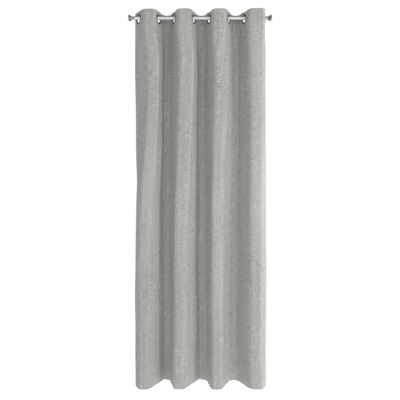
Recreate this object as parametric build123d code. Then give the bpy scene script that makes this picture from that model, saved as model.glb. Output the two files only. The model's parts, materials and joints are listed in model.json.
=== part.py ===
from build123d import *
import os
from math import asin, atan, cos, degrees, radians, sin

# Eyelet curtain panel threaded on a short rod with a finial at each end, in millimetres.
# Origin: on the rod's axis at mid-length. +X runs along the rod to the right, -Y is the room
# side and +Z is up. The cloth runs from left to right in eight folds, one for each eyelet.
# A fold runs from one fold line to the next, through its eyelet, and it is one rigid body.

# Rod and finials
ROD_DIAMETER = 25.0
ROD_WALL = 1.2
ROD_LENGTH = 874.0
FINIAL_NECK_LENGTH = 30.0
FINIAL_NECK_WAIST = 10.4
FINIAL_DISC_DIAMETER = 42.0
FINIAL_DISC_LENGTH = 16.0
FINIAL_DOME = 6.0
FINIAL_EDGE_LENGTH = 2.0
FINIAL_PIN_DIAMETER = 10.0
FINIAL_PIN_LENGTH = 16.0
PLUG_CLEARANCE = 0.05
PLUG_LENGTH = 32.0

# Panel
PANEL_HEIGHT = 2500.0
TOP_ABOVE_ROD = 44.0
CLOTH_THICKNESS = 1.0
HEADER_HEIGHT = 95.0
TAPE_THICKNESS = 0.6
TAPE_INSET = 4.0
TURN_THICKNESS = 0.9
BOTTOM_HEM_HEIGHT = 80.0
SIDE_HEM_WIDTH = 25.0
SIDE_HEM_THICKNESS = 1.2
LABEL_WIDTH = 20.0
LABEL_HEIGHT = 45.0
LABEL_THICKNESS = 0.3
LABEL_ABOVE_HEM = 60.0

# Eyelets
EYELET_COUNT = 8
EYELET_HOLE_RADIUS = 22.0
EYELET_OUTER_RADIUS = 32.0
EYELET_BELOW_ROD = 8.0
EYELET_FRONT_RISE = 2.0
EYELET_BACK_RISE = 1.8
BARREL_WALL = 1.5
BARREL_LIP = 1.2
CUT_CLEARANCE = 0.5
CUT_LENGTH = 20.0

# Folds at the rest pose, seen from above. A loop is the stretch between two eyelets. It leaves
# the rod on a straight leg, turns through an arc and runs flat over its crest. The loops face
# the room and the wall in turn, and the first and the last face the room. The first eyelet
# stands more open than the others, and the last is almost square to the rod.
FIRST_EYELET_X = -410.0
FRONT_PITCH = 133.0
BACK_PITCH = 102.0
LAST_PITCH = 139.0
FIRST_DEPTH = 50.0
FRONT_DEPTH = 56.0
BACK_DEPTH = 72.0
LAST_DEPTH = 60.0
FRONT_LEG = 34.0
BACK_LEG = 59.0
LEG_ANGLE = 68.0
FIRST_LEG_ANGLE = 54.0
LAST_LEG_ANGLE = 84.0
LEFT_MARGIN_FLAT = 36.0
LEFT_MARGIN_CURL = 24.0
LEFT_MARGIN_TURN = 20.0
RIGHT_MARGIN = 60.0
FOLD_GAP = 4.0

# Heights and layers. A layer offset is measured from the middle of the cloth, and is positive
# towards the back of the cloth.
TOP = TOP_ABOVE_ROD
BOTTOM = TOP - PANEL_HEIGHT
HEM_TOP = BOTTOM + BOTTOM_HEM_HEIGHT
HEADER_BOTTOM = TOP - HEADER_HEIGHT
CLOTH_FRONT = -CLOTH_THICKNESS / 2
CLOTH_BACK = CLOTH_THICKNESS / 2
TAPE_BACK = CLOTH_BACK + TAPE_THICKNESS
TURN_BACK = TAPE_BACK + TURN_THICKNESS
HEM_BACK = CLOTH_BACK + SIDE_HEM_THICKNESS
CUT_RADIUS = EYELET_HOLE_RADIUS + BARREL_WALL + CUT_CLEARANCE


def loop_sizes(number):
    """Pitch, depth and leg of the loop that follows an eyelet."""
    if number % 2 == 0:
        return BACK_PITCH, BACK_DEPTH, BACK_LEG
    if number == 1:
        return FRONT_PITCH, FIRST_DEPTH, FRONT_LEG
    if number == EYELET_COUNT - 1:
        return LAST_PITCH, LAST_DEPTH, FRONT_LEG
    return FRONT_PITCH, FRONT_DEPTH, FRONT_LEG


def leg_angle(number):
    """The angle between the rod and the cloth at an eyelet."""
    return {1: FIRST_LEG_ANGLE, EYELET_COUNT: LAST_LEG_ANGLE}.get(number, LEG_ANGLE)


def loop_half(number, angle):
    """One side of a loop as steps of (length, turn): straight leg, arc and flat crest."""
    pitch, depth, leg = loop_sizes(number)
    turn = radians(angle)
    arc_radius = (depth - leg * sin(turn)) / (1 - cos(turn))
    flat = pitch / 2 - leg * cos(turn) - arc_radius * sin(turn)
    return [(leg, 0.0), (arc_radius * turn, angle), (flat - FOLD_GAP / 2, 0.0)]


def turned(steps, side):
    """The same steps, with their turns to the left (side 1) or to the right (side -1)."""
    return [(length, turn * side) for length, turn in steps]


def total(steps):
    return sum(length for length, turn in steps)


def clipped(steps, start, end):
    """The part of the path between two distances along it."""
    kept = []
    travelled = 0.0
    for length, turn in steps:
        within = min(end, travelled + length) - max(start, travelled)
        if within > 0:
            kept.append((within, turn * within / length))
        travelled += length
    return kept


def ahead(point, heading, length, turn):
    """Where a step ends, and the heading there."""
    if turn:
        radius = length / radians(turn)
        centre = point + Vector(-sin(heading), cos(heading)) * radius
        heading += radians(turn)
        return centre + Vector(sin(heading), -cos(heading)) * radius, heading
    return point + Vector(cos(heading), sin(heading)) * length, heading


def side_curve(point, heading, steps, offset):
    """The edges of the curve that runs beside the path, at an offset to its left."""
    edges = []
    for length, turn in steps:
        left = Vector(-sin(heading), cos(heading))
        start = point + left * offset
        along = Vector(cos(heading), sin(heading))
        if turn:
            radius = length / abs(radians(turn))
            beside = radius - offset if turn > 0 else radius + offset
            edges.append(JernArc(start=start, tangent=along, radius=beside, arc_size=turn))
        else:
            edges.append(Line(start, start + along * length))
        point, heading = ahead(point, heading, length, turn)
    return edges


def band(fold, start, end, inner, outer, bottom, top):
    """A layer of cloth: a stretch of a fold's path, between two offsets and two heights."""
    point, heading = fold["start"], fold["heading"]
    for length, turn in clipped(fold["steps"], 0.0, start):
        point, heading = ahead(point, heading, length, turn)
    steps = clipped(fold["steps"], start, end)
    near = side_curve(point, heading, steps, inner)
    far = side_curve(point, heading, steps, outer)
    caps = [Line(near[0] @ 0, far[0] @ 0), Line(near[-1] @ 1, far[-1] @ 1)]
    outline = make_face(Curve() + near + far + caps)
    return Pos(0, 0, bottom) * extrude(outline, top - bottom, dir=(0, 0, 1))


def backwards(steps):
    return [(length, -turn) for length, turn in reversed(steps)]


def make_fold(number):
    """A fold's path from its left end, its eyelet's place and the plane of the eyelet."""
    eyelet_x = FIRST_EYELET_X + sum(loop_sizes(passed)[0] for passed in range(1, number))
    angle = leg_angle(number)
    side = 1 if number % 2 == 1 else -1
    heading_at_eyelet = -side * radians(angle)
    if number == 1:
        before = [(LEFT_MARGIN_CURL, LEFT_MARGIN_TURN), (LEFT_MARGIN_FLAT, 0.0)]
    else:
        before = turned(loop_half(number - 1, angle), -side)[::-1]
    if number == EYELET_COUNT:
        after = [(RIGHT_MARGIN, 0.0)]
    else:
        after = turned(loop_half(number, angle), side)
    point, heading = Vector(eyelet_x, 0), heading_at_eyelet + radians(180)
    for length, turn in backwards(before):
        point, heading = ahead(point, heading, length, turn)
    return {
        "number": number,
        "start": point,
        "heading": heading - radians(180),
        "steps": before + after,
        "eyelet_x": eyelet_x,
        "eyelet_at": total(before),
        "eyelet_heading": degrees(heading_at_eyelet),
    }


def eyelet_place(fold):
    """Local Z points out of the back of the cloth, and the origin is the middle of the hole."""
    return (
        Pos(fold["eyelet_x"], 0, -EYELET_BELOW_ROD)
        * Rot(0, 0, fold["eyelet_heading"])
        * Rot(-90, 0, 0)
    )


def ring_section(inside, outside, base, rise):
    """Half a rounded ring's section: flat where it grips the cloth and domed outside."""
    middle = (inside + outside) / 2
    flat = Line((inside, base), (outside, base))
    dome = ThreePointArc((outside, base), (middle, base + rise), (inside, base))
    return make_face(Curve() + [flat, dome])


def spin(section):
    """Turn a section drawn in radius and height about the local Z axis."""
    return revolve(Plane.XZ * section, Axis.Z)


def front_eyelet():
    """Domed front ring with the barrel that passes through the cloth."""
    flange = ring_section(
        EYELET_HOLE_RADIUS, EYELET_OUTER_RADIUS, CLOTH_FRONT, -EYELET_FRONT_RISE
    )
    barrel_height = TURN_BACK + BARREL_LIP - CLOTH_FRONT
    barrel = Pos(EYELET_HOLE_RADIUS + BARREL_WALL / 2, CLOTH_FRONT + barrel_height / 2)
    return spin(flange) + spin(barrel * Rectangle(BARREL_WALL, barrel_height))


def back_eyelet():
    """Domed snap ring that grips the barrel behind the header."""
    inside = EYELET_HOLE_RADIUS + BARREL_WALL
    return spin(ring_section(inside, EYELET_OUTER_RADIUS, TURN_BACK, EYELET_BACK_RISE))


def cut_for_eyelet(layer, fold):
    return layer - eyelet_place(fold) * Cylinder(CUT_RADIUS, CUT_LENGTH)


def fold_parts(fold):
    """The cloth layers and the eyelet of one fold, by node name."""
    number = fold["number"]
    length = total(fold["steps"])
    cloth = band(fold, 0.0, length, CLOTH_FRONT, CLOTH_BACK, BOTTOM, TOP)
    tape = band(
        fold, 0.0, length, CLOTH_BACK, TAPE_BACK, HEADER_BOTTOM + TAPE_INSET, TOP - TAPE_INSET
    )
    turn = band(fold, 0.0, length, TAPE_BACK, TURN_BACK, HEADER_BOTTOM, TOP)
    hem = band(fold, 0.0, length, CLOTH_BACK, HEM_BACK, BOTTOM, HEM_TOP)
    return {
        f"cloth_fold_{number}": cut_for_eyelet(cloth, fold),
        f"header_tape_{number}": cut_for_eyelet(tape, fold),
        f"header_turn_{number}": cut_for_eyelet(turn, fold),
        f"bottom_hem_{number}": hem,
        f"eyelet_front_{number}": eyelet_place(fold) * front_eyelet(),
        f"eyelet_back_{number}": eyelet_place(fold) * back_eyelet(),
    }


def side_parts(first, last):
    """The hems down the two side edges, and the label on the left one."""
    width = total(last["steps"])
    label_bottom = HEM_TOP + LABEL_ABOVE_HEM
    label_top = label_bottom + LABEL_HEIGHT
    label_back = HEM_BACK + LABEL_THICKNESS
    return {
        "side_hem_left": band(
            first, 0.0, SIDE_HEM_WIDTH, CLOTH_BACK, HEM_BACK, HEM_TOP, HEADER_BOTTOM
        ),
        "side_hem_right": band(
            last, width - SIDE_HEM_WIDTH, width, CLOTH_BACK, HEM_BACK, HEM_TOP, HEADER_BOTTOM
        ),
        "care_label": band(
            first, 0.0, LABEL_WIDTH, HEM_BACK, label_back, label_bottom, label_top
        ),
    }


def rod_tube():
    outside = Cylinder(ROD_DIAMETER / 2, ROD_LENGTH)
    bore = Cylinder(ROD_DIAMETER / 2 - ROD_WALL, ROD_LENGTH)
    return Rot(0, 90, 0) * (outside - bore)


def finial_cap():
    """Spool-shaped neck and domed disc, along local Z from the end of the rod."""
    rod_radius = ROD_DIAMETER / 2
    disc_radius = FINIAL_DISC_DIAMETER / 2
    neck_end = FINIAL_NECK_LENGTH - FINIAL_EDGE_LENGTH
    disc_end = FINIAL_NECK_LENGTH + FINIAL_DISC_LENGTH
    neck_end_radius = (rod_radius + disc_radius) / 2
    shoulder = disc_end - FINIAL_DOME
    neck = ThreePointArc(
        (rod_radius, 0), (FINIAL_NECK_WAIST, FINIAL_NECK_LENGTH * 0.45), (neck_end_radius, neck_end)
    )
    flare = Line((neck_end_radius, neck_end), (disc_radius, FINIAL_NECK_LENGTH + FINIAL_EDGE_LENGTH))
    rim = Line((disc_radius, FINIAL_NECK_LENGTH + FINIAL_EDGE_LENGTH), (disc_radius, shoulder))
    dome_radius = (disc_radius**2 + FINIAL_DOME**2) / (2 * FINIAL_DOME)
    dome_angle = degrees(asin(disc_radius / dome_radius))
    dome = CenterArc((0, disc_end - dome_radius), dome_radius, 90 - dome_angle, dome_angle)
    axis = Line((0, disc_end), (0, 0))
    base = Line((0, 0), (rod_radius, 0))
    solid = spin(make_face(Curve() + [neck, flare, rim, dome, axis, base]))
    socket = Cylinder(FINIAL_PIN_DIAMETER / 2, FINIAL_PIN_LENGTH)
    return solid - Pos(0, 0, FINIAL_PIN_LENGTH / 2) * socket


def finial_plug():
    """Plastic plug inside the rod's end, with the pin that the cap is pressed on."""
    plug_radius = ROD_DIAMETER / 2 - ROD_WALL - PLUG_CLEARANCE
    plug = Pos(0, 0, -PLUG_LENGTH / 2) * Cylinder(plug_radius, PLUG_LENGTH)
    plug = chamfer(plug.faces().sort_by(Axis.Z)[0].edges(), 1.0)
    pin = Pos(0, 0, FINIAL_PIN_LENGTH / 2) * Cylinder(FINIAL_PIN_DIAMETER / 2, FINIAL_PIN_LENGTH)
    return plug + pin


def rod_parts():
    """The rod and its two finials, by node name."""
    right_end = Pos(ROD_LENGTH / 2, 0, 0) * Rot(0, 90, 0)
    left_end = Pos(-ROD_LENGTH / 2, 0, 0) * Rot(0, -90, 0)
    return {
        "rod_tube": rod_tube(),
        "finial_left_cap": left_end * finial_cap(),
        "finial_left_plug": left_end * finial_plug(),
        "finial_right_cap": right_end * finial_cap(),
        "finial_right_plug": right_end * finial_plug(),
    }


folds = [make_fold(number) for number in range(1, EYELET_COUNT + 1)]
parts = rod_parts()
for fold in folds:
    parts |= fold_parts(fold)
parts |= side_parts(folds[0], folds[-1])

os.makedirs("parts", exist_ok=True)
for name, shape in parts.items():
    export_step(shape, f"parts/{name}.step")

# Fold lines: each pair of folds turns about a vertical line in the middle of its loop, where
# the straight lines from the two eyelets meet at one angle that all the loops share.
fold_angle = atan(FIRST_DEPTH / (FRONT_PITCH / 2))
print("angle between the rod and each line from eyelet to fold line:", degrees(fold_angle))
for fold, following in zip(folds, folds[1:]):
    middle = (fold["eyelet_x"] + following["eyelet_x"]) / 2
    to_front = -1 if fold["number"] % 2 == 1 else 1
    depth = to_front * (middle - fold["eyelet_x"]) * FIRST_DEPTH / (FRONT_PITCH / 2)
    print("fold line", fold["number"], "x", middle, "y", depth)
print("flat width of the panel:", sum(total(fold["steps"]) for fold in folds) + 7 * FOLD_GAP)
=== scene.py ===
import json
from math import atan2, ceil, cos, pi, radians, sin, tan

import bpy
import numpy as np
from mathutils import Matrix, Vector

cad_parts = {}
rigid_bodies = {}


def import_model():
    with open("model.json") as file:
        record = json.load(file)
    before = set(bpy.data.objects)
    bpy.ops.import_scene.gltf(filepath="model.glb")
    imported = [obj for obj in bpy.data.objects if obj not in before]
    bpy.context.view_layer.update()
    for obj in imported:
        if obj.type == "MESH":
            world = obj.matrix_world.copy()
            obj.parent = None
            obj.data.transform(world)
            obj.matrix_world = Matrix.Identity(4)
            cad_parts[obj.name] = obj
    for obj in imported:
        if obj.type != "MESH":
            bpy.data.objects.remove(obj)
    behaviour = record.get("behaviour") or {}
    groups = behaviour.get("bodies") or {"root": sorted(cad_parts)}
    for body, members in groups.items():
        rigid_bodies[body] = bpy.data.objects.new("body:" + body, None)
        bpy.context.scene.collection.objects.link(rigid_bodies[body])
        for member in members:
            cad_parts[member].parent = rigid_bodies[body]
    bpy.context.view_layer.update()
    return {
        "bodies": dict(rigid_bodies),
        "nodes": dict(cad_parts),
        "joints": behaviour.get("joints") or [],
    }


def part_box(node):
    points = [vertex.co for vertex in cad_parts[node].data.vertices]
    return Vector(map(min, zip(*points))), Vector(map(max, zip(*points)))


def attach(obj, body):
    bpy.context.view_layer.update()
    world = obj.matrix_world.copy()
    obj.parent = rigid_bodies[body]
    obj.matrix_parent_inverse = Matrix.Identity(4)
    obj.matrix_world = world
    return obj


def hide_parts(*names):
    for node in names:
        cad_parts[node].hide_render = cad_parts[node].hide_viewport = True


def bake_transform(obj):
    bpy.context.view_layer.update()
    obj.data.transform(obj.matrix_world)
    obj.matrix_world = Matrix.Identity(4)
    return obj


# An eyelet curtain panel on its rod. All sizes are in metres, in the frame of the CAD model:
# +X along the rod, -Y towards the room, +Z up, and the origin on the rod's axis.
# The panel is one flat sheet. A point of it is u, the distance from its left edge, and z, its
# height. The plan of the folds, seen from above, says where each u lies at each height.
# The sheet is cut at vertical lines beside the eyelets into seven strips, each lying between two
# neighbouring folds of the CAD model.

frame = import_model()

# Sizes read from the frame
FOLD_COUNT = sum(name.startswith("fold_") for name in frame["bodies"])
STRIP_COUNT = FOLD_COUNT - 1
JOINTS = {joint["name"]: joint for joint in frame["joints"]}
CLOTH_LOW, CLOTH_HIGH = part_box("cloth_fold_2")
TOP = CLOTH_HIGH.z
BOTTOM = CLOTH_LOW.z
HEADER_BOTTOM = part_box("header_turn_1")[0].z
HEM_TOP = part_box("bottom_hem_1")[1].z
RING_LOW, RING_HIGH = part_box("eyelet_front_2")
RING_RADIUS = (RING_HIGH.z - RING_LOW.z) / 2
RING_Z = (RING_HIGH.z + RING_LOW.z) / 2
LABEL_LOW, LABEL_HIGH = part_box("care_label")

# Layers. An offset is from the middle of the cloth, positive towards its back.
CLOTH_THICKNESS = 0.0009
TURN_OFFSET = 0.00155
HEM_OFFSET = 0.00115
TAPE_OFFSET = 0.0008
TAPE_THICKNESS = 0.0005
TAPE_INSET = 0.004
SIDE_HEM_WIDTH = 0.025

# The plan of the folds at the rod, as the CAD model has it: the depth and the straight leg of
# each loop between two eyelets, and the angle between the rod and the cloth at each eyelet
FRONT_LEG = 0.034
BACK_LEG = 0.059
FRONT_LOOP = (0.056, FRONT_LEG)
BACK_LOOP = (0.072, BACK_LEG)
LOOPS = [(0.050, FRONT_LEG), BACK_LOOP, FRONT_LOOP, BACK_LOOP, FRONT_LOOP, BACK_LOOP, (0.060, FRONT_LEG)]
LEG_ANGLES = [54, 68, 68, 68, 68, 68, 68, 84]
LEFT_MARGIN_FLAT = 0.036
LEFT_MARGIN_CURL = 0.024
LEFT_MARGIN_TURN = radians(20)
RIGHT_MARGIN = 0.060

# The plan of the folds below the header and at the hem, as (x, y, radius) of each corner. The
# header holds the folds even, and below it the first two back folds draw into a sharp crease at
# their left. Towards the hem the front crests move to the left.
DRAWN_CORNERS = [
    (-0.441, 0.050, 0),
    (-0.341, -0.052, 0.034),
    (-0.270, -0.056, 0.022),
    (-0.247, 0.080, 0.008),
    (-0.202, 0.064, 0.022),
    (-0.138, -0.051, 0.036),
    (-0.044, -0.060, 0.024),
    (-0.009, 0.080, 0.008),
    (0.036, 0.064, 0.022),
    (0.092, -0.055, 0.032),
    (0.174, -0.062, 0.026),
    (0.234, 0.074, 0.020),
    (0.266, 0.066, 0.024),
    (0.334, -0.055, 0.042),
    (0.413, -0.063, 0.034),
    (0.439, -0.004, 0.034),
    (0.445, 0.061, 0),
]
HEM_CORNERS = [
    (-0.422, 0.056, 0),
    (-0.434, -0.014, 0.026),
    (-0.404, -0.064, 0.032),
    (-0.334, -0.064, 0.042),
    (-0.262, 0.050, 0.024),
    (-0.247, 0.072, 0.007),
    (-0.206, 0.052, 0.024),
    (-0.170, -0.062, 0.026),
    (-0.100, -0.064, 0.040),
    (-0.020, 0.054, 0.024),
    (-0.006, 0.074, 0.007),
    (0.046, 0.054, 0.022),
    (0.074, -0.064, 0.026),
    (0.142, -0.064, 0.034),
    (0.206, 0.062, 0.028),
    (0.254, 0.054, 0.044),
    (0.330, -0.062, 0.050),
    (0.407, -0.066, 0.036),
    (0.443, -0.014, 0.028),
    (0.440, 0.056, 0),
]

# The heights between which each plan takes over from the one above it, and how uneven the
# folds are below the header
DRAWN_OVER = (-0.055, -0.30)
HEM_OVER = (-0.30, -1.60)
UNEVEN_SIDEWAYS = 0.0045
UNEVEN_IN_DEPTH = 0.0040

# The top edge sinks a little on the left flank of each front fold but the first
DROOP = 0.0085
DROOP_PAST_EYELET = 0.026
DROOP_REACH = 0.030
DROOP_FROM = 0.020

# How the mesh is divided
HOLE_BLOCK = 0.035
BLOCK_CELLS = 10
HOLE_RADIUS = 0.0237
HOLE_RINGS = 5
LOOP_CELLS = 26
MARGIN_CELLS = 6
ROW_HEIGHT = 0.0135
ROLL_STEPS = 6


# ---------------------------------------------------------------- the plan of the folds

def rounded_path(corners):
    """A path through corners of (x, y, radius), as dense points and the distance to each corner.

    A corner with no radius is a mark on a straight stretch, and its distance is exact."""
    points = [np.array(corners[0][:2])]
    places = [0]
    for before, corner, after in zip(corners, corners[1:], corners[2:]):
        here = np.array(corner[:2])
        arriving = here - np.array(before[:2])
        leaving = np.array(after[:2]) - here
        arriving /= np.linalg.norm(arriving)
        leaving /= np.linalg.norm(leaving)
        turn = atan2(arriving[0] * leaving[1] - arriving[1] * leaving[0], arriving @ leaving)
        if corner[2] and abs(turn) > 1e-4:
            reach = corner[2] * tan(abs(turn) / 2)
            left = np.sign(turn) * np.array([-arriving[1], arriving[0]])
            centre = here - arriving * reach + left * corner[2]
            steps = max(6, ceil(abs(turn) * corner[2] / 0.001))
            for step in range(steps + 1):
                angle = turn * step / steps
                spoke = np.array(
                    [
                        -left[0] * cos(angle) + left[1] * sin(angle),
                        -left[0] * sin(angle) - left[1] * cos(angle),
                    ]
                )
                points.append(centre + spoke * corner[2])
            places.append(len(points) - 1 - steps // 2)
        else:
            points.append(here)
            places.append(len(points) - 1)
    points.append(np.array(corners[-1][:2]))
    places.append(len(points) - 1)
    points = np.array(points)
    steps = np.linalg.norm(np.diff(points, axis=0), axis=1)
    distance = np.concatenate([[0.0], np.cumsum(steps)])
    return points, distance, distance[places]


def fold_middles():
    """The x of each eyelet, from the CAD model's joints: each fold line is midway between two."""
    places = [JOINTS["panel_gather"]["pos_m"][0]]
    for number in range(1, FOLD_COUNT):
        middle = JOINTS[f"fold_line_{number}"]["pos_m"][0]
        places.append(2 * middle - places[-1])
    return places


def rod_plan():
    """Corners of the plan at the rod, and which of them are the eyelets."""
    first = EYELET_X[0]
    angle = radians(LEG_ANGLES[0])
    curl_radius = LEFT_MARGIN_CURL / LEFT_MARGIN_TURN
    reach = curl_radius * tan(LEFT_MARGIN_TURN / 2)
    bend = Vector((first, 0)) + Vector((-cos(angle), sin(angle))) * (LEFT_MARGIN_FLAT + reach)
    angle += LEFT_MARGIN_TURN
    edge = bend + Vector((-cos(angle), sin(angle))) * reach
    corners = [(edge.x, edge.y, 0), (bend.x, bend.y, curl_radius), (first, 0, 0)]
    marks = [2]
    side = -1
    for number, (depth, leg) in enumerate(LOOPS):
        for end, inward in ((number, 1), (number + 1, -1)):
            angle = radians(LEG_ANGLES[end])
            radius = (depth - leg * sin(angle)) / (1 - cos(angle))
            corners.append((EYELET_X[end] + inward * depth / tan(angle), side * depth, radius))
        corners.append((EYELET_X[number + 1], 0, 0))
        marks.append(len(corners) - 1)
        side = -side
    angle = radians(LEG_ANGLES[-1])
    edge = (EYELET_X[-1] + RIGHT_MARGIN * cos(angle), RIGHT_MARGIN * sin(angle), 0)
    return corners + [edge], marks


EYELET_X = fold_middles()
ROD_CORNERS, ROD_MARKS = rod_plan()
ROD_POINTS, ROD_DISTANCE, ROD_AT = rounded_path(ROD_CORNERS)
DRAWN_POINTS, DRAWN_DISTANCE, _ = rounded_path(DRAWN_CORNERS)
HEM_POINTS, HEM_DISTANCE, _ = rounded_path(HEM_CORNERS)
EYELET_U = ROD_AT[ROD_MARKS]
PANEL_WIDTH = ROD_DISTANCE[-1]


def smooth(value):
    value = np.clip(value, 0, 1)
    return value * value * (3 - 2 * value)


def wander(u, z, seed):
    """A gentle unevenness between -1 and 1 that repeats nowhere on the panel."""
    phase = 1.7 * seed
    broad = np.sin(11.3 * u + 2.9 * z + phase) * np.sin(5.1 * u - 4.3 * z + 2.2 * phase)
    middle = np.sin(31.0 * u - 7.7 * z + 0.6 * phase) * np.sin(3.9 * z + 1.1 * phase)
    fine = np.sin(17.9 * z + 23.0 * u + 3.1 * phase) * np.sin(61.0 * u + 1.9 * phase)
    return 0.55 * broad + 0.3 * middle + 0.15 * fine


def point_along(u, points, distance):
    """The points of a path at the same share of its length as u is of the panel's width."""
    at = u * distance[-1] / PANEL_WIDTH
    return np.stack([np.interp(at, distance, points[:, axis]) for axis in (0, 1)], axis=-1)


def share_down(z, heights):
    return smooth((heights[0] - z) / (heights[0] - heights[1]))[..., None]


def plan(u, z):
    """Where a point of the sheet lies, seen from above."""
    at_rod = point_along(u, ROD_POINTS, ROD_DISTANCE)
    drawn = point_along(u, DRAWN_POINTS, DRAWN_DISTANCE)
    at_hem = point_along(u, HEM_POINTS, HEM_DISTANCE)
    loose = share_down(z, DRAWN_OVER)
    flat = at_rod + (drawn - at_rod) * loose
    flat += (at_hem - drawn) * share_down(z, HEM_OVER)
    sideways = UNEVEN_SIDEWAYS * wander(u, z, 1)
    deep = UNEVEN_IN_DEPTH * wander(u, z, 2)
    return flat + np.stack([sideways, deep], axis=-1) * loose


def droop(u, z):
    """How far the top edge sinks on the left flank of a front fold, past eyelets 3, 5 and 7."""
    middles = EYELET_U[2::2, None] + DROOP_PAST_EYELET
    flank = np.exp(-(((u.reshape(1, -1) - middles) / DROOP_REACH) ** 2)).sum(axis=0)
    return DROOP * flank.reshape(u.shape) * smooth((z - DROOP_FROM) / (TOP - DROOP_FROM))


def place(u, z, offset):
    """The point of the sheet at u and z, moved towards the back of the cloth by offset."""
    u, z, offset = np.broadcast_arrays(np.asarray(u, float), z, offset)
    step = 0.0008
    ahead = plan(np.minimum(u + step, PANEL_WIDTH), z)
    behind = plan(np.maximum(u - step, 0), z)
    along = ahead - behind
    along /= np.linalg.norm(along, axis=-1, keepdims=True)
    normal = np.stack([-along[..., 1], along[..., 0]], axis=-1)
    flat = plan(u, z) + normal * offset[..., None]
    height = z - droop(u, z)
    return np.concatenate([flat, height[..., None]], axis=-1)


# ---------------------------------------------------------------- meshes

def spaced(start, end, count):
    """count steps from start to end, without the end itself."""
    return list(np.linspace(start, end, count + 1)[:-1])


def columns():
    """The u of each column of the mesh, and the column where each strip ends."""
    values = []
    ends = []
    past = 0.0
    for number, at in enumerate(EYELET_U):
        gap = MARGIN_CELLS if number == 0 else LOOP_CELLS
        values += spaced(past, at - HOLE_BLOCK, gap)
        values += spaced(at - HOLE_BLOCK, at + HOLE_BLOCK, BLOCK_CELLS)
        past = at + HOLE_BLOCK
        ends.append(len(values))
    values += spaced(past, PANEL_WIDTH, MARGIN_CELLS) + [PANEL_WIDTH]
    ends = [0, *ends[1:-1], len(values) - 1]
    return np.array(values), ends


def header_rows(low, high, offset):
    """Heights through the header, with the rows that the eyelet holes need."""
    low_block, high_block = RING_Z - HOLE_BLOCK, RING_Z + HOLE_BLOCK
    heights = spaced(low, low_block, 2) + spaced(low_block, high_block, BLOCK_CELLS)
    heights += spaced(high_block, high, 2) + [high]
    return [(height, offset) for height in heights]


def roll(z, up, offset):
    """Rows round the folded edge at the top (up 1) or bottom (up -1), without its two ends."""
    radius = offset / 2
    turns = [pi * step / ROLL_STEPS for step in range(1, ROLL_STEPS)]
    return [(z + up * radius * sin(turn), radius * (1 + cos(turn))) for turn in turns]


def sheet_rows():
    """The whole sheet from the foot of the turned header, over the top, to the turned hem."""
    top_edge = TOP - TURN_OFFSET / 2
    bottom_edge = BOTTOM + HEM_OFFSET / 2
    back = header_rows(HEADER_BOTTOM, top_edge, TURN_OFFSET)
    front = header_rows(HEADER_BOTTOM, top_edge, 0.0)[::-1]
    count = ceil((HEADER_BOTTOM - bottom_edge) / ROW_HEIGHT)
    body = [(z, 0.0) for z in spaced(HEADER_BOTTOM, bottom_edge, count)[1:]] + [(bottom_edge, 0.0)]
    turned = [(z, HEM_OFFSET) for z in np.linspace(bottom_edge, HEM_TOP, 7)]
    over = roll(top_edge, 1, TURN_OFFSET)
    under = roll(bottom_edge, -1, HEM_OFFSET)[::-1]
    return back + over + front + body + under + turned


def holes(u, rows):
    """(first column, first row) of each block of cells that an eyelet's hole takes up."""
    blocks = []
    low = RING_Z - HOLE_BLOCK
    high = RING_Z + HOLE_BLOCK
    for at in EYELET_U:
        column = int(np.argmin(abs(u - (at - HOLE_BLOCK))))
        for row, (z, offset) in enumerate(rows[:-BLOCK_CELLS]):
            z_end, offset_end = rows[row + BLOCK_CELLS]
            level = {round(z, 6), round(z_end, 6)}
            if level == {round(low, 6), round(high, 6)} and offset == offset_end:
                blocks.append((column, row))
    return blocks


def layer(rows):
    """The middle surface of a layer: u, z and offset of its points, and its faces by column."""
    u, ends = columns()
    z = np.array([row[0] for row in rows])
    offset = np.array([row[1] for row in rows])
    fall = np.abs(np.diff(z))
    run = np.concatenate([[0.0], np.cumsum(np.maximum(fall, 0.0002))])
    wide, tall = len(u), len(rows)
    points = [
        np.tile(u, tall),
        np.repeat(z, wide),
        np.repeat(offset, wide),
        np.repeat(run, wide),
    ]
    blocks = holes(u, rows)
    taken = np.zeros((tall - 1, wide - 1), bool)
    for column, row in blocks:
        taken[row : row + BLOCK_CELLS, column : column + BLOCK_CELLS] = True
    faces = []
    for row in range(tall - 1):
        for column in range(wide - 1):
            if not taken[row, column]:
                corner = row * wide + column
                faces.append((column, (corner, corner + wide, corner + wide + 1, corner + 1)))
    for column, row in blocks:
        points, ring_faces = ring_round_hole(points, column, row, wide)
        faces += ring_faces
    return points, faces, ends


def ring_round_hole(points, column, row, wide):
    """Fills the square left for a hole with rings of cells that run from it to the hole's edge."""
    size = BLOCK_CELLS
    around = [(step, 0) for step in range(size)]
    around += [(size, step) for step in range(size)]
    around += [(size - step, size) for step in range(size)]
    around += [(0, size - step) for step in range(size)]
    outer = np.array([(row + down) * wide + column + across for across, down in around])
    across, up, run = points[0][outer], points[1][outer], points[3][outer]
    middle_u = (across.max() + across.min()) / 2
    middle_run = (run.max() + run.min()) / 2
    length = np.hypot(across - middle_u, up - RING_Z)
    count = len(outer)
    faces = []
    inner = outer
    for ring in range(1, HOLE_RINGS + 1):
        share = ring / HOLE_RINGS
        scale = 1 - share + share * HOLE_RADIUS / length
        added = np.arange(count) + len(points[0])
        points = [
            np.concatenate([points[0], middle_u + (across - middle_u) * scale]),
            np.concatenate([points[1], RING_Z + (up - RING_Z) * scale]),
            np.concatenate([points[2], points[2][outer]]),
            np.concatenate([points[3], middle_run + (run - middle_run) * scale]),
        ]
        for step in range(count):
            after = (step + 1) % count
            faces.append((column, (inner[after], inner[step], added[step], added[after])))
        inner = added
    return points, faces


def grid_faces(wide, tall):
    """The faces of a plain grid of points, row by row."""
    return [
        (row * wide + at, (row + 1) * wide + at, (row + 1) * wide + at + 1, row * wide + at + 1)
        for row in range(tall - 1)
        for at in range(wide - 1)
    ]


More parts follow.
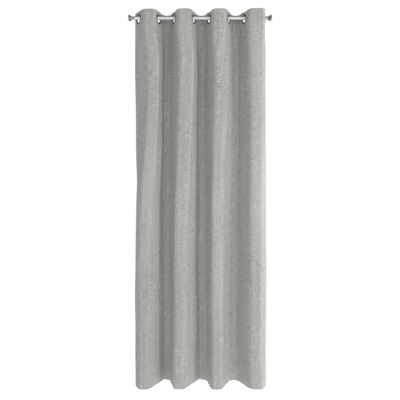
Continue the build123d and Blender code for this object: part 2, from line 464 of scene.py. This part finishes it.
def add_object(name, data):
    made = bpy.data.objects.new(name, data)
    bpy.context.scene.collection.objects.link(made)
    return made


def lay_on_cut_cloth(mesh, flat):
    """Gives each vertex its place on the cut cloth, which the weave follows."""
    corners = np.zeros(len(mesh.loops), int)
    mesh.loops.foreach_get("vertex_index", corners)
    uv = mesh.uv_layers.new(name="cut_cloth")
    uv.uv.foreach_set("vector", flat[corners].astype(np.float32).ravel())


def vertex_normals(points, faces):
    """Normals of the whole surface, so that neighbouring strips shade as one."""
    faces = np.array(faces)
    diagonal = points[faces[:, 2]] - points[faces[:, 0]]
    other = points[faces[:, 3]] - points[faces[:, 1]]
    across = np.cross(diagonal, other)
    normals = np.zeros_like(points)
    for corner in range(4):
        np.add.at(normals, faces[:, corner], across)
    return normals / np.maximum(np.linalg.norm(normals, axis=1, keepdims=True), 1e-12)


def thick_mesh(name, points, normals, flat, faces, thickness):
    """A closed mesh of that thickness round a middle surface. flat is each point's place on
    the cut cloth."""
    used, inverse = np.unique(np.array(faces).ravel(), return_inverse=True)
    faces = inverse.reshape(-1, 4)
    count = len(used)
    shift = normals[used] * thickness / 2
    vertices = np.concatenate([points[used] + shift, points[used] - shift])
    edges = {}
    for face in faces:
        for start, end in zip(face, np.roll(face, -1)):
            if (end, start) in edges:
                del edges[end, start]
            else:
                edges[start, end] = True
    rims = [(end, start, start + count, end + count) for start, end in edges]
    every = [tuple(face) for face in faces]
    every += [tuple(face[::-1] + count) for face in faces]
    every += rims
    mesh = bpy.data.meshes.new(name)
    mesh.from_pydata(vertices.tolist(), [], [tuple(int(i) for i in face) for face in every])
    mesh.polygons.foreach_set("use_smooth", [True] * len(mesh.polygons))
    lay_on_cut_cloth(mesh, np.tile(flat[used], (2, 1)))
    mesh.normals_split_custom_set_from_vertices(
        np.concatenate([normals[used], -normals[used]]).tolist()
    )
    return add_object(name, mesh)


def make_strips(prefix, rows, thickness):
    """One closed mesh for each strip of a layer."""
    (u, z, offset, run), faces, ends = layer(rows)
    points = place(u, z, offset)
    normals = vertex_normals(points, [face for column, face in faces])
    flat = np.stack([u, run], axis=-1)
    strips = []
    for number, (first, last) in enumerate(zip(ends, ends[1:]), start=1):
        mine = [face for column, face in faces if first <= column < last]
        strips.append(thick_mesh(f"{prefix}_{number}", points, normals, flat, mine, thickness))
    return strips


# ---------------------------------------------------------------- materials

def new_material(name):
    material = bpy.data.materials.new(name)
    material.use_nodes = True
    return material, material.node_tree


def link(tree, source, target):
    tree.links.new(source, target)


def math_node(tree, operation, first, second=None):
    node = tree.nodes.new("ShaderNodeMath")
    node.operation = operation
    for socket, value in zip(node.inputs, (first, second)):
        if value is None:
            continue
        if isinstance(value, (int, float)):
            socket.default_value = value
        else:
            link(tree, value, socket)
    return node.outputs[0]


def noise_node(tree, coordinates, scale, detail=2.0, roughness=0.5):
    """Noise whose cells are 1 / scale long on each axis."""
    stretch = tree.nodes.new("ShaderNodeMapping")
    stretch.inputs["Scale"].default_value = scale
    link(tree, coordinates, stretch.inputs["Vector"])
    texture = tree.nodes.new("ShaderNodeTexNoise")
    texture.inputs["Scale"].default_value = 1.0
    texture.inputs["Detail"].default_value = detail
    texture.inputs["Roughness"].default_value = roughness
    link(tree, stretch.outputs["Vector"], texture.inputs["Vector"])
    return texture.outputs["Fac"]


def ramp_node(tree, value, stops):
    ramp = tree.nodes.new("ShaderNodeValToRGB")
    while len(ramp.color_ramp.elements) < len(stops):
        ramp.color_ramp.elements.new(0.5)
    for element, (position, colour) in zip(ramp.color_ramp.elements, stops):
        element.position = position
        element.color = (*colour, 1) if len(colour) == 3 else colour
    link(tree, value, ramp.inputs["Fac"])
    return ramp.outputs["Color"]


def range_node(tree, value, low, high, out_low, out_high):
    node = tree.nodes.new("ShaderNodeMapRange")
    for name, number in (
        ("From Min", low),
        ("From Max", high),
        ("To Min", out_low),
        ("To Max", out_high),
    ):
        node.inputs[name].default_value = number
    link(tree, value, node.inputs["Value"])
    return node.outputs["Result"]


def relief_node(tree, shader, height, strength, distance):
    """Fine relief on a shader, from a height."""
    bump = tree.nodes.new("ShaderNodeBump")
    bump.inputs["Strength"].default_value = strength
    bump.inputs["Distance"].default_value = distance
    link(tree, height, bump.inputs["Height"])
    link(tree, bump.outputs["Normal"], shader.inputs["Normal"])


def weave_height(tree, u, v, pitch):
    """A plain weave: warp yarns run up the cloth and weft yarns across, over and under."""
    across = math_node(tree, "MULTIPLY", u, pi / pitch)
    along = math_node(tree, "MULTIPLY", v, pi / pitch)
    warp_wave = math_node(tree, "SINE", across)
    weft_wave = math_node(tree, "SINE", along)
    warp = math_node(tree, "ABSOLUTE", warp_wave)
    weft = math_node(tree, "ABSOLUTE", weft_wave)
    over = math_node(tree, "GREATER_THAN", math_node(tree, "MULTIPLY", warp_wave, weft_wave), 0.0)
    under = math_node(tree, "SUBTRACT", 1.0, over)
    return math_node(
        tree,
        "ADD",
        math_node(tree, "MULTIPLY", warp, over),
        math_node(tree, "MULTIPLY", weft, under),
    )


def dashes(tree, uv, across, along):
    """Slubs along one direction: short thick stretches of yarn, mostly lighter, some darker."""
    noise = noise_node(tree, uv, (across, along, 1.0), 1.0)
    light = range_node(tree, noise, 0.58, 0.70, 0.0, 1.0)
    dark = range_node(tree, noise, 0.42, 0.30, 0.0, 0.6)
    return math_node(tree, "SUBTRACT", light, dark)


def cloth_material(name, dark, light, pitch, slub, bump_distance):
    """Woven cloth: single yarns, slubs that gather in patches, and faint streaks up the warp."""
    material, tree = new_material(name)
    shader = tree.nodes["Principled BSDF"]
    cloth_map = tree.nodes.new("ShaderNodeUVMap")
    cloth_map.uv_map = "cut_cloth"
    uv = cloth_map.outputs["UV"]
    split = tree.nodes.new("ShaderNodeSeparateXYZ")
    link(tree, uv, split.inputs["Vector"])
    weave = weave_height(tree, split.outputs["X"], split.outputs["Y"], pitch)
    warp_yarn = noise_node(tree, uv, (0.9 / pitch, 22.0, 1.0), 2.0)
    weft_yarn = noise_node(tree, uv, (22.0, 0.9 / pitch, 1.0), 2.0)
    yarn = math_node(tree, "ADD", warp_yarn, weft_yarn)
    weft_slubs = dashes(tree, uv, 22.0, 160.0)
    warp_slubs = dashes(tree, uv, 190.0, 24.0)
    fine_slubs = dashes(tree, uv, 55.0, 420.0)
    patches = range_node(tree, noise_node(tree, uv, (9.0, 6.0, 1.0), 1.0), 0.40, 0.62, 0.25, 1.0)
    slubs = math_node(tree, "ADD", weft_slubs, warp_slubs)
    slubs = math_node(tree, "MULTIPLY", slubs, patches)
    slubs = math_node(tree, "ADD", slubs, math_node(tree, "MULTIPLY", fine_slubs, 0.5))
    streaks = noise_node(tree, uv, (60.0, 1.2, 1.0), 2.0)
    cloud = noise_node(tree, uv, (5.0, 2.0, 1.0), 2.0)
    tone = math_node(tree, "MULTIPLY", slubs, 0.32 * slub)
    for value, weight in ((yarn, 0.35), (streaks, 0.40), (cloud, 0.25), (weave, 0.16)):
        tone = math_node(tree, "ADD", tone, math_node(tree, "MULTIPLY", value, weight))
    # Each weight above times the middle value of its layer
    middle = 0.35 + 0.20 + 0.125 + 0.10
    tone = range_node(tree, tone, middle - 0.4, middle + 0.4, 0.0, 1.0)
    colour = ramp_node(tree, tone, [(0.0, dark), (1.0, light)])
    link(tree, colour, shader.inputs["Base Color"])
    link(tree, range_node(tree, yarn, 0.7, 1.3, 0.84, 0.96), shader.inputs["Roughness"])
    relief = math_node(tree, "ADD", weave, math_node(tree, "MULTIPLY", yarn, 0.8))
    relief = math_node(tree, "ADD", relief, math_node(tree, "MULTIPLY", slubs, 0.25 * slub))
    relief_node(tree, shader, relief, 0.5, bump_distance)
    shader.inputs["Sheen Weight"].default_value = 0.15
    shader.inputs["Sheen Roughness"].default_value = 0.5
    shader.inputs["Specular IOR Level"].default_value = 0.22
    return material


def metal_material(name, dark, light, roughness, brush, wear):
    """Satin metal: fine brush lines, a faint cloudiness and small scuffs."""
    material, tree = new_material(name)
    shader = tree.nodes["Principled BSDF"]
    coordinates = tree.nodes.new("ShaderNodeTexCoord").outputs["Object"]
    lines = noise_node(tree, coordinates, brush, 3.0, 0.6)
    cloud = noise_node(tree, coordinates, (60.0, 60.0, 60.0), 3.0)
    scuffs = noise_node(tree, coordinates, (240.0, 240.0, 240.0), 4.0, 0.7)
    mixed = math_node(
        tree,
        "ADD",
        math_node(tree, "MULTIPLY", lines, 0.6),
        math_node(tree, "MULTIPLY", cloud, 0.4),
    )
    colour = ramp_node(tree, mixed, [(0.35, dark), (0.65, light)])
    link(tree, colour, shader.inputs["Base Color"])
    rough = range_node(tree, mixed, 0.3, 0.7, roughness + 0.06, roughness - 0.05)
    scuffed = range_node(tree, scuffs, 0.55, 0.75, 0.0, wear)
    link(tree, math_node(tree, "ADD", rough, scuffed), shader.inputs["Roughness"])
    relief_node(tree, shader, lines, 0.25, 0.00005)
    shader.inputs["Metallic"].default_value = 1.0
    return material


def plastic_material(name, dark, light):
    """Moulded plastic with a fine grain."""
    material, tree = new_material(name)
    shader = tree.nodes["Principled BSDF"]
    coordinates = tree.nodes.new("ShaderNodeTexCoord").outputs["Object"]
    grain = noise_node(tree, coordinates, (900.0, 900.0, 900.0), 3.0)
    cloud = noise_node(tree, coordinates, (50.0, 50.0, 50.0), 2.0)
    colour = ramp_node(tree, cloud, [(0.3, dark), (0.7, light)])
    link(tree, colour, shader.inputs["Base Color"])
    link(tree, range_node(tree, grain, 0.3, 0.7, 0.45, 0.6), shader.inputs["Roughness"])
    relief_node(tree, shader, grain, 0.3, 0.0001)
    return material


LINEN = cloth_material(
    "grey_linen", (0.200, 0.203, 0.188), (0.520, 0.527, 0.498), 0.0012, 1.0, 0.0004
)
TAPE = cloth_material("woven_tape", (0.42, 0.42, 0.40), (0.64, 0.64, 0.62), 0.0008, 0.3, 0.0002)
LABEL = cloth_material("label_satin", (0.70, 0.70, 0.68), (0.86, 0.86, 0.84), 0.0004, 0.1, 0.0001)
THREAD = cloth_material("sewing_thread", (0.11, 0.11, 0.10), (0.24, 0.24, 0.23), 0.0006, 0.2, 0.0001)
EYELET_METAL = metal_material(
    "dark_nickel", (0.075, 0.075, 0.080), (0.135, 0.135, 0.140), 0.26, (30.0, 30.0, 900.0), 0.10
)
ROD_METAL = metal_material(
    "satin_nickel", (0.60, 0.61, 0.60), (0.70, 0.71, 0.70), 0.52, (12.0, 700.0, 700.0), 0.08
)
FINIAL_METAL = metal_material(
    "turned_nickel", (0.27, 0.27, 0.28), (0.37, 0.37, 0.38), 0.24, (900.0, 25.0, 25.0), 0.08
)
PLUG_PLASTIC = plastic_material("plug_plastic", (0.020, 0.020, 0.022), (0.035, 0.035, 0.038))


def dress(node, material):
    """Gives a CAD node its finish."""
    mesh_object = frame["nodes"][node]
    if not mesh_object.material_slots:
        mesh_object.data.materials.append(material)
    for slot in mesh_object.material_slots:
        slot.material = material


# ---------------------------------------------------------------- the curtain

# How far a strip's reach keeps from its two rings and its own two edges
STIFF_PAST_RING = 0.004
STIFF_BEFORE_RING = 0.003
STIFF_AT_EDGE = 0.002
EDGE_SAMPLES = 120


def strip_reach(number):
    """The two x values between a strip's two rings, kept clear of its own two edges."""
    left_eyelet, right_eyelet = EYELET_X[number - 1], EYELET_X[number]
    start = left_eyelet + RING_RADIUS * cos(radians(LEG_ANGLES[number - 1])) + STIFF_PAST_RING
    end = right_eyelet - RING_RADIUS * cos(radians(LEG_ANGLES[number])) - STIFF_BEFORE_RING
    z = np.linspace(BOTTOM, TOP, EDGE_SAMPLES)
    if number > 1:
        edge = plan(np.full(EDGE_SAMPLES, EYELET_U[number - 1] + HOLE_BLOCK), z)[:, 0]
        start = max(start, edge.max() + STIFF_AT_EDGE)
    if number < STRIP_COUNT:
        edge = plan(np.full(EDGE_SAMPLES, EYELET_U[number] + HOLE_BLOCK), z)[:, 0]
        end = min(end, edge.min() - STIFF_AT_EDGE)
    return start, end


def bend_with_folds(piece):
    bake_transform(piece)


REACHES = {number: strip_reach(number) for number in range(1, STRIP_COUNT + 1)}
STRIP_EDGES_U = [0.0, *(EYELET_U[1:-1] + HOLE_BLOCK), PANEL_WIDTH]

cloth_strips = make_strips("curtain_cloth", sheet_rows(), CLOTH_THICKNESS)
tape_rows = header_rows(HEADER_BOTTOM + TAPE_INSET, TOP - TAPE_INSET, TAPE_OFFSET)
tape_strips = make_strips("heading_tape", tape_rows, TAPE_THICKNESS)


# ---------------------------------------------------------------- stitching

STITCH_LENGTH = 0.0032
STITCH_PITCH = 0.0044
STITCH_RADIUS = 0.00032
STITCH_SIDES = 6
STITCH_RINGS = (-1.0, -0.82, -0.4, 0.4, 0.82, 1.0)


def stitch_line(start, end, outside):
    """Stitches on a straight seam between two (u, z) points, on the face at that offset."""
    start, end = np.array(start), np.array(end)
    length = np.linalg.norm(end - start)
    count = max(1, int(length / STITCH_PITCH))
    direction = (end - start) / length
    middles = start + direction * ((np.arange(count)[:, None] + 0.5) * length / count)
    half = direction * STITCH_LENGTH / 2
    tails = place(*(middles - half).T, outside)
    heads = place(*(middles + half).T, outside)
    raised = place(*middles.T, outside * 1.5) - place(*middles.T, outside * 0.5)
    return tails, heads, raised / np.linalg.norm(raised, axis=1, keepdims=True)


def stitch_mesh(name, lines):
    """All the stitches of some seams as one piece: each is a short thread, sunk at both ends."""
    vertices = []
    faces = []
    for tails, heads, raised in lines:
        for tail, head, up in zip(tails, heads, raised):
            middle, half = (tail + head) / 2, (head - tail) / 2
            side = np.cross(half, up)
            side /= np.linalg.norm(side)
            first = len(vertices)
            for along in STITCH_RINGS:
                bulge = STITCH_RADIUS * (1 - 0.55 * abs(along) ** 3)
                sunk = -0.9 * STITCH_RADIUS * along**4
                for step in range(STITCH_SIDES):
                    angle = 2 * pi * step / STITCH_SIDES
                    spoke = up * (sunk + bulge * sin(angle)) + side * bulge * cos(angle)
                    vertices.append(middle + half * along + spoke)
            for ring in range(len(STITCH_RINGS) - 1):
                for step in range(STITCH_SIDES):
                    a = first + ring * STITCH_SIDES + step
                    b = first + ring * STITCH_SIDES + (step + 1) % STITCH_SIDES
                    faces.append((a, b, b + STITCH_SIDES, a + STITCH_SIDES))
            last = first + (len(STITCH_RINGS) - 1) * STITCH_SIDES
            faces.append(tuple(first + step for step in reversed(range(STITCH_SIDES))))
            faces.append(tuple(last + step for step in range(STITCH_SIDES)))
    mesh = bpy.data.meshes.new(name)
    mesh.from_pydata([tuple(v) for v in vertices], [], faces)
    mesh.polygons.foreach_set("use_smooth", [True] * len(mesh.polygons))
    lay_on_cut_cloth(mesh, np.array(vertices)[:, [0, 2]])
    mesh.materials.append(THREAD)
    piece = add_object(name, mesh)
    return piece


FACE = -CLOTH_THICKNESS / 2
TURN_FACE = TURN_OFFSET + CLOTH_THICKNESS / 2
HEM_FACE = HEM_OFFSET + CLOTH_THICKNESS / 2
HEADER_SEAM = HEADER_BOTTOM + 0.0045
TOP_SEAM = TOP - 0.010
HEM_SEAM = HEM_TOP - 0.0045

stitching = []
for number, (left, right) in enumerate(zip(STRIP_EDGES_U, STRIP_EDGES_U[1:]), start=1):
    seams = []
    for height, back_face in ((TOP_SEAM, TURN_FACE), (HEADER_SEAM, TURN_FACE), (HEM_SEAM, HEM_FACE)):
        for outside in (FACE, back_face):
            seams.append(stitch_line((left + 0.001, height), (right - 0.001, height), outside))
    stitching.append(stitch_mesh(f"seam_stitching_{number}", seams))

for number, (cloth, tape, seam) in enumerate(zip(cloth_strips, tape_strips, stitching), start=1):
    cloth.data.materials.append(LINEN)
    tape.data.materials.append(TAPE)
    for piece in (cloth, tape, seam):
        bend_with_folds(piece)
    folds = [number] if number < STRIP_COUNT else [number, number + 1]
    for fold in folds:
        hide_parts(f"cloth_fold_{fold}", f"header_turn_{fold}", f"bottom_hem_{fold}")
        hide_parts(f"header_tape_{fold}")


# ---------------------------------------------------------------- side hems and label

SIDE_HEM_THICKNESS = CLOTH_THICKNESS * 0.8
LABEL_WIDTH = 0.020
LABEL_THICKNESS = 0.0003
LABEL_LIFT = 0.0024
LABEL_CURL = 0.0035
LABEL_RIPPLE = 0.0006


def turned_edge(name, edge_u, inward, low, high):
    """A side hem: the edge of the cloth turned to the back, as a closed mesh."""
    rolled = [
        (edge_u - inward * 0.5 * HEM_OFFSET * sin(turn), HEM_OFFSET / 2 * (1 - cos(turn)))
        for turn in np.linspace(0, pi, ROLL_STEPS + 1)
    ]
    flat_part = [
        (edge_u + inward * share * SIDE_HEM_WIDTH, HEM_OFFSET) for share in np.linspace(0.1, 1.0, 7)
    ]
    section = rolled + flat_part
    heights = np.linspace(low, high, int((high - low) / ROW_HEIGHT))
    across, offset = np.array(section).T
    u = np.clip(across, 0, PANEL_WIDTH)
    beyond = across - u
    wide = len(section)
    grid_u, grid_z = np.tile(u, len(heights)), np.repeat(heights, wide)
    points = place(grid_u, grid_z, np.tile(offset, len(heights)))
    outward = place(grid_u, grid_z, 0.0) - place(grid_u + inward * 0.002, grid_z, 0.0)
    outward /= np.linalg.norm(outward, axis=1, keepdims=True)
    points += outward * np.abs(np.tile(beyond, len(heights)))[:, None]
    faces = grid_faces(wide, len(heights))
    normals = vertex_normals(points, faces)
    flat = np.stack([np.tile(np.arange(wide) * 0.003, len(heights)), grid_z], axis=-1)
    piece = thick_mesh(name, points, normals, flat, faces, SIDE_HEM_THICKNESS)
    piece.data.materials.append(LINEN)
    return piece


for side, edge_u, inward, body in (
    ("left", 0.0, 1, "fold_1"),
    ("right", PANEL_WIDTH, -1, f"fold_{FOLD_COUNT}"),
):
    hem = turned_edge(f"side_hem_cloth_{side}", edge_u, inward, HEM_TOP + 0.001, HEADER_BOTTOM - 0.001)
    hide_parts(f"side_hem_{side}")
    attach(hem, body)
    seam_u = edge_u + inward * (SIDE_HEM_WIDTH - 0.003)
    lines = [
        stitch_line((seam_u, HEM_TOP), (seam_u, HEADER_BOTTOM), face)
        for face in (FACE, HEM_OFFSET + SIDE_HEM_THICKNESS / 2)
    ]
    seam = stitch_mesh(f"side_stitching_{side}", lines)
    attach(seam, body)


def care_label():
    """A blank woven label on the side hem: flat at its top, and its foot curls free."""
    height = LABEL_HIGH.z - LABEL_LOW.z
    wide, tall = 9, 16
    u = np.linspace(0.001, LABEL_WIDTH, wide)
    down = np.linspace(0, 1, tall)
    grid_u, grid_down = np.tile(u, tall), np.repeat(down, wide)
    ripple = LABEL_RIPPLE * np.sin(grid_u * 260) * grid_down
    lift = LABEL_LIFT + LABEL_CURL * grid_down**2 + ripple
    points = place(grid_u, LABEL_HIGH.z - height * grid_down, lift)
    faces = grid_faces(wide, tall)
    flat = np.stack([grid_u, grid_down * height], axis=-1)
    normals = vertex_normals(points, faces)
    piece = thick_mesh("care_label_cloth", points, normals, flat, faces, LABEL_THICKNESS)
    piece.data.materials.append(LABEL)
    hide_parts("care_label")
    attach(piece, "fold_1")


care_label()


# ---------------------------------------------------------------- metal and plastic

for number in range(1, FOLD_COUNT + 1):
    dress(f"eyelet_front_{number}", EYELET_METAL)
    dress(f"eyelet_back_{number}", EYELET_METAL)
dress("rod_tube", ROD_METAL)
for side in ("left", "right"):
    dress(f"finial_{side}_cap", FINIAL_METAL)
    dress(f"finial_{side}_plug", PLUG_PLASTIC)


# ---------------------------------------------------------------- stage, light and camera

FLOOR_BELOW_HEM = 0.45
FLOOR_GLOW = 0.62
WORLD_FRONT = 0.33
WORLD_LEFT = 0.17
WORLD_BACK = 0.60
WORLD_WHITE = 1.02
CAMERA_DISTANCE = 2.75
CAMERA_HEIGHT = -1.0406
CAMERA_SHIFT = -0.0665
WIDTH_IN_VIEW = 2.681
SENSOR_WIDTH = 36.0


def make_floor():
    """A pale floor well below the hem. It glows, to look as light as the world behind it."""
    mesh = bpy.data.meshes.new("floor")
    half = 30.0
    z = BOTTOM - FLOOR_BELOW_HEM
    corners = [(-half, -half, z), (half, -half, z), (half, half, z), (-half, half, z)]
    mesh.from_pydata(corners, [], [(0, 1, 2, 3)])
    floor = add_object("floor", mesh)
    material, tree = new_material("pale_floor")
    shader = tree.nodes["Principled BSDF"]
    shader.inputs["Base Color"].default_value = (0.93, 0.93, 0.93, 1)
    shader.inputs["Roughness"].default_value = 0.8
    shader.inputs["Emission Color"].default_value = (1.0, 1.0, 1.0, 1)
    shader.inputs["Emission Strength"].default_value = FLOOR_GLOW
    mesh.materials.append(material)


def area_light(name, location, target, size, power):
    data = bpy.data.lights.new(name, "AREA")
    data.shape = "RECTANGLE"
    data.size, data.size_y = size
    data.energy = power
    light = add_object(name, data)
    light.location = location
    light.rotation_mode = "QUATERNION"
    light.rotation_quaternion = (Vector(target) - Vector(location)).to_track_quat("-Z", "Y")


def make_world():
    """White behind the curtain, dimmer in front and dimmest at the left, so that the lights
    shape the folds."""
    world = bpy.data.worlds.new("studio")
    world.use_nodes = True
    tree = world.node_tree
    background = tree.nodes["Background"]
    background.inputs["Color"].default_value = (1.0, 1.0, 1.0, 1)
    split = tree.nodes.new("ShaderNodeSeparateXYZ")
    link(tree, tree.nodes.new("ShaderNodeTexCoord").outputs["Generated"], split.inputs["Vector"])
    behind = range_node(tree, split.outputs["Y"], 0.3, 0.7, WORLD_FRONT, WORLD_BACK)
    white = range_node(tree, split.outputs["Y"], 0.74, 0.80, 0.0, WORLD_WHITE - WORLD_BACK)
    left = range_node(tree, split.outputs["X"], -1.0, -0.5, WORLD_LEFT - WORLD_FRONT, 0.0)
    total = math_node(tree, "ADD", math_node(tree, "ADD", behind, white), left)
    link(tree, total, background.inputs["Strength"])
    bpy.context.scene.world = world


def make_camera():
    """Level, in front of the panel's middle, with the frame lowered to take in the hem."""
    data = bpy.data.cameras.new("camera")
    data.lens = SENSOR_WIDTH * CAMERA_DISTANCE / WIDTH_IN_VIEW
    data.shift_y = CAMERA_SHIFT
    camera = add_object("camera", data)
    camera.location = (0.0, -CAMERA_DISTANCE, CAMERA_HEIGHT)
    camera.rotation_euler = (radians(90), 0, 0)
    bpy.context.scene.camera = camera


make_floor()
make_world()
panel_middle = (0.0, 0.0, (TOP + BOTTOM) / 2)
area_light("key", (3.25, -2.4, -0.6), panel_middle, (0.8, 2.4), 45.0)
area_light("side", (2.6, 0.15, -1.2), panel_middle, (0.6, 2.4), 26.0)
area_light("near", (1.5, -1.5, -1.2), (0.45, 0.0, -1.2), (0.5, 2.4), 11.0)
area_light("front", (-0.6, -3.9, -0.3), panel_middle, (0.8, 2.4), 34.0)
make_camera()
bpy.context.scene.view_settings.view_transform = "Standard"
